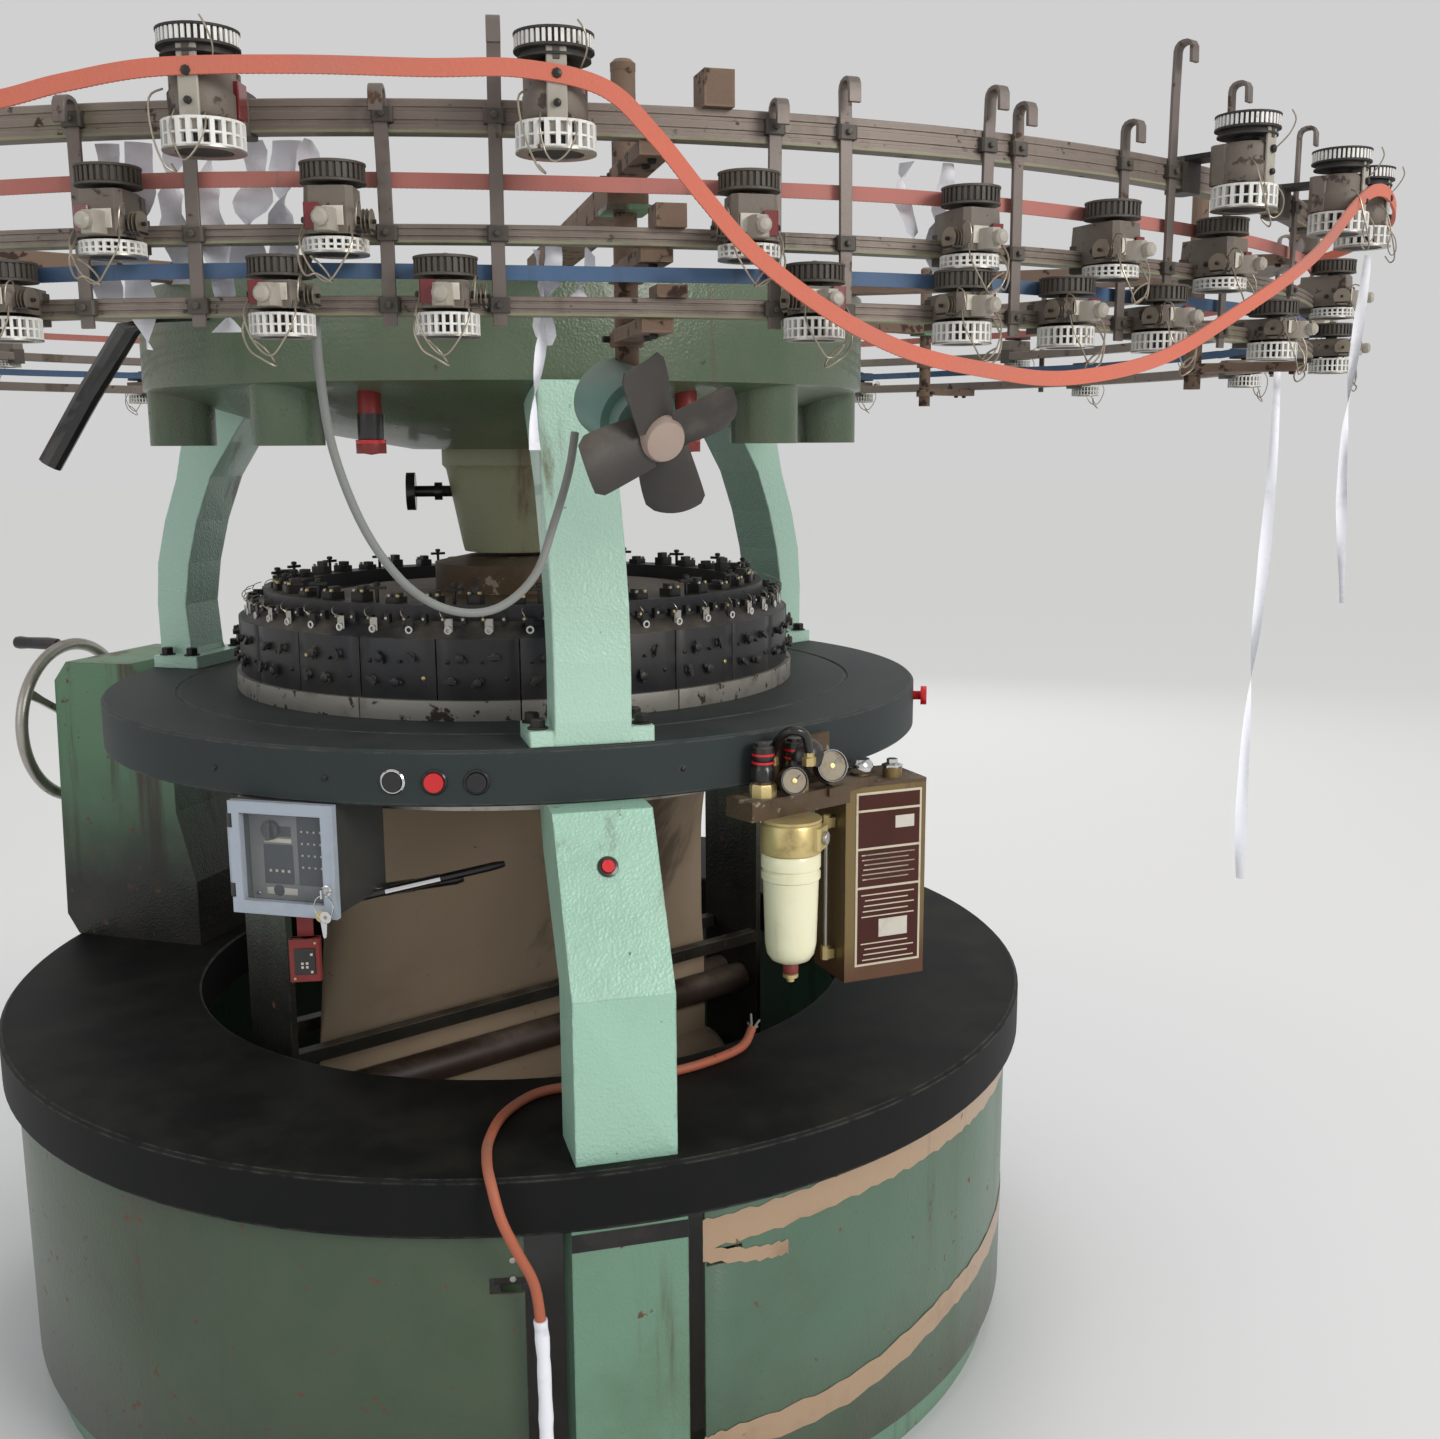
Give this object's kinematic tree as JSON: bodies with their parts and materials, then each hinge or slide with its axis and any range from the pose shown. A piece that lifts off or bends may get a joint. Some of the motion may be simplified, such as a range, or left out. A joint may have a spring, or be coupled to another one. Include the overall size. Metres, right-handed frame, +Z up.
{
  "type": "circular knitting machine",
  "caption": "Large circular knitting machine with a ring table, cam boxes, take-down with cloth in a drum base, and yarn feeder rings on a crown.",
  "frame": {"origin": "on the floor, on the machine's vertical axis", "axes": "+Z up, -Y towards the operator's side, +X to the right seen from there"},
  "size_m": [2.9249, 2.9269, 2.045],
  "materials": {
    "green_drum": "hammertone enamel, dirty and scratched",
    "green_leg": "hammertone enamel, worn at the edges",
    "dark_paint": "semi-matt dark enamel, dusty",
    "black_metal": "oily black",
    "red_plastic": "gloss",
    "black_plastic": "matt",
    "steel": "worn",
    "grey_band": "dull",
    "tan_plate": "dusty cream paint",
    "roller": "dull",
    "cloth": "knitted, dusty",
    "ring_tube": "dull, dusty",
    "rust_post": "brown, rusty",
    "wheel_white": "dusty",
    "belt": "matt",
    "belt_orange": "matt",
    "box_grey": "satin",
    "box_dark": "satin",
    "window": "clear",
    "gold_paint": "dull gold, oily",
    "brass": "oily",
    "cream_bowl": "yellowed",
    "turquoise": "dusty",
    "cable_orange": "dusty",
    "cable_grey": "dusty"
  },
  "bodies": {
    "frame": {"floor_frame": "green_drum", "drum_back": "green_drum", "lower_ring": "dark_paint", "lower_legs": "green_leg", "drive_housing": "green_leg", "table": "dark_paint", "cam_base": "grey_band", "cam_boxes": "black_metal", "cam_knobs": "black_metal", "dial_ring": "steel", "upper_legs": "green_leg", "crown": "green_leg", "dial_housing": "green_leg", "small_fittings": "red_plastic", "feeder_rings": "ring_tube", "ring_carrier": "rust_post", "feeder_rods": "steel", "feeder_units": "ring_tube", "feed_wheels": "wheel_white", "ring_belts": "belt", "belt_slack": "belt_orange", "control_box": "box_dark", "oil_tank": "gold_paint", "oil_unit": "brass", "filter_bowl": "cream_bowl", "fan_motor": "turquoise", "crown_pipe": "black_plastic", "orange_cable": "cable_orange", "grey_cable": "cable_grey"},
    "door_left": {"door_left": "green_drum"},
    "door_right": {"door_right": "green_drum"},
    "latch_left": {"latch_left": "black_metal"},
    "latch_right": {"latch_right": "black_metal"},
    "leg_button": {"leg_button": "red_plastic"},
    "handwheel": {"handwheel": "steel"},
    "button_start": {"button_start": "black_plastic"},
    "button_stop": {"button_stop": "red_plastic"},
    "button_jog": {"button_jog": "black_plastic"},
    "stop_mushroom": {"stop_mushroom": "red_plastic"},
    "rotor": {"needle_cylinder": "steel", "takedown_frame": "green_drum", "cloth_tube": "cloth"},
    "dial": {"dial_disc": "tan_plate"},
    "roller_front": {"roller_front": "roller"},
    "roller_rear": {"roller_rear": "roller"},
    "cloth_roll": {"cloth_roll": "cloth"},
    "dial_knob": {"dial_knob": "black_plastic"},
    "box_door": {"box_door": "box_grey", "box_window": "window"},
    "box_selector": {"box_selector": "black_plastic"},
    "box_key": {"box_key": "steel"},
    "regulator_a": {"regulator_a": "black_plastic"},
    "regulator_b": {"regulator_b": "black_plastic"},
    "drain_valve": {"drain_valve": "red_plastic"},
    "fan_rotor": {"fan_rotor": "black_metal"},
    "spindle_1": {"spindle_1": "wheel_white"},
    "spindle_2": {"spindle_2": "wheel_white"},
    "spindle_3": {"spindle_3": "wheel_white"},
    "spindle_4": {"spindle_4": "wheel_white"},
    "spindle_5": {"spindle_5": "wheel_white"}
  },
  "joints": [
    {"name": "door_left_hinge", "type": "hinge", "parent": "frame", "child": "door_left", "pos_m": [-0.89372, 0.24617, 0.3], "axis": [0, 0, -1], "range_deg": [0, 95]},
    {"name": "door_right_hinge", "type": "hinge", "parent": "frame", "child": "door_right", "pos_m": [0.79124, 0.48298, 0.3], "axis": [0, 0, 1], "range_deg": [0, 95]},
    {"name": "latch_left_turn", "type": "hinge", "parent": "door_left", "child": "latch_left", "pos_m": [-0.03748, -0.89421, 0.462], "axis": [-0.0419, -0.9991, 0], "range_deg": [0, 80]},
    {"name": "latch_right_turn", "type": "hinge", "parent": "door_right", "child": "latch_right", "pos_m": [0.26018, -0.85635, 0.462], "axis": [0.2907, -0.9568, 0], "range_deg": [0, 80]},
    {"name": "button_start_press", "type": "slide", "parent": "frame", "child": "button_start", "axis": [0.2504, 0.9681, 0], "range_m": [0, 0.004], "stiffness_N_per_m": 400},
    {"name": "button_stop_press", "type": "slide", "parent": "frame", "child": "button_stop", "axis": [0.1702, 0.9854, 0], "range_m": [0, 0.004], "stiffness_N_per_m": 400},
    {"name": "button_jog_press", "type": "slide", "parent": "frame", "child": "button_jog", "axis": [0.0889, 0.996, 0], "range_m": [0, 0.004], "stiffness_N_per_m": 400},
    {"name": "stop_mushroom_press", "type": "slide", "parent": "frame", "child": "stop_mushroom", "axis": [-0.9659, 0.2588, 0], "range_m": [0, 0.006], "stiffness_N_per_m": 500},
    {"name": "leg_button_press", "type": "slide", "parent": "frame", "child": "leg_button", "axis": [-0.1217, 0.8661, -0.4848], "range_m": [0, 0.004], "stiffness_N_per_m": 400},
    {"name": "cylinder_spin", "type": "hinge", "parent": "frame", "child": "rotor", "pos_m": [0, 0, 1.1], "axis": [0, 0, 1], "continuous": true},
    {"name": "dial_spin", "type": "hinge", "parent": "frame", "child": "dial", "pos_m": [0, 0, 1.38], "axis": [0, 0, 1], "continuous": true},
    {"name": "handwheel_spin", "type": "hinge", "parent": "frame", "child": "handwheel", "pos_m": [-0.90706, 0.38196, 1.048], "axis": [-0.9135, 0.4067, 0], "continuous": true},
    {"name": "roller_front_spin", "type": "hinge", "parent": "rotor", "child": "roller_front", "pos_m": [0.01696, -0.02714, 0.47], "axis": [0.848, 0.5299, 0], "continuous": true},
    {"name": "roller_rear_spin", "type": "hinge", "parent": "rotor", "child": "roller_rear", "pos_m": [-0.01696, 0.02714, 0.47], "axis": [0.848, 0.5299, 0], "continuous": true},
    {"name": "cloth_roll_spin", "type": "hinge", "parent": "rotor", "child": "cloth_roll", "pos_m": [0, 0, 0.285], "axis": [0.848, 0.5299, 0], "continuous": true},
    {"name": "dial_knob_turn", "type": "hinge", "parent": "frame", "child": "dial_knob", "pos_m": [-0.15, 0, 1.52], "axis": [-1, 0, 0], "range_deg": [-170, 170]},
    {"name": "spindle_1_spin", "type": "hinge", "parent": "frame", "child": "spindle_1", "pos_m": [-0.26305, -1.4056, 1.92], "axis": [0, 0, 1], "continuous": true},
    {"name": "spindle_2_spin", "type": "hinge", "parent": "frame", "child": "spindle_2", "pos_m": [0.04492, -1.42929, 1.92], "axis": [0, 0, 1], "continuous": true},
    {"name": "spindle_3_spin", "type": "hinge", "parent": "frame", "child": "spindle_3", "pos_m": [0.82021, -1.17139, 1.92], "axis": [0, 0, 1], "continuous": true},
    {"name": "spindle_4_spin", "type": "hinge", "parent": "frame", "child": "spindle_4", "pos_m": [1.03729, -0.98435, 1.92], "axis": [0, 0, 1], "continuous": true},
    {"name": "spindle_5_spin", "type": "hinge", "parent": "frame", "child": "spindle_5", "pos_m": [1.14205, -0.86059, 1.92], "axis": [0, 0, 1], "continuous": true},
    {"name": "box_door_hinge", "type": "hinge", "parent": "frame", "child": "box_door", "pos_m": [-0.42586, -0.62725, 1.013], "axis": [0, 0, -1], "range_deg": [0, 110]},
    {"name": "box_selector_turn", "type": "hinge", "parent": "frame", "child": "box_selector", "pos_m": [-0.36953, -0.62132, 1.049], "axis": [-0.3746, -0.9272, 0], "range_deg": [-60, 60]},
    {"name": "box_key_turn", "type": "hinge", "parent": "box_door", "child": "box_key", "pos_m": [-0.28192, -0.68476, 0.973], "axis": [-0.3746, -0.9272, 0], "range_deg": [0, 90]},
    {"name": "regulator_a_turn", "type": "hinge", "parent": "frame", "child": "regulator_a", "pos_m": [0.35421, -0.67467, 1.13], "axis": [0, 0, 1], "range_deg": [-170, 170]},
    {"name": "regulator_b_turn", "type": "hinge", "parent": "frame", "child": "regulator_b", "pos_m": [0.4083, -0.64338, 1.13], "axis": [0, 0, 1], "range_deg": [-170, 170]},
    {"name": "drain_valve_turn", "type": "hinge", "parent": "frame", "child": "drain_valve", "pos_m": [0.394, -0.69, 0.82], "axis": [0, 0, 1], "range_deg": [0, 180]},
    {"name": "fan_spin", "type": "hinge", "parent": "frame", "child": "fan_rotor", "pos_m": [0.15, -1.272, 1.612], "axis": [0.3497, -0.8692, -0.3497], "continuous": true}
  ],
  "couplings": [
    {"joint": "dial_spin", "follows": "cylinder_spin", "ratio": 1},
    {"joint": "handwheel_spin", "follows": "cylinder_spin", "ratio": 6},
    {"joint": "roller_rear_spin", "follows": "roller_front_spin", "ratio": -1},
    {"joint": "cloth_roll_spin", "follows": "roller_front_spin", "ratio": 0.4}
  ]
}
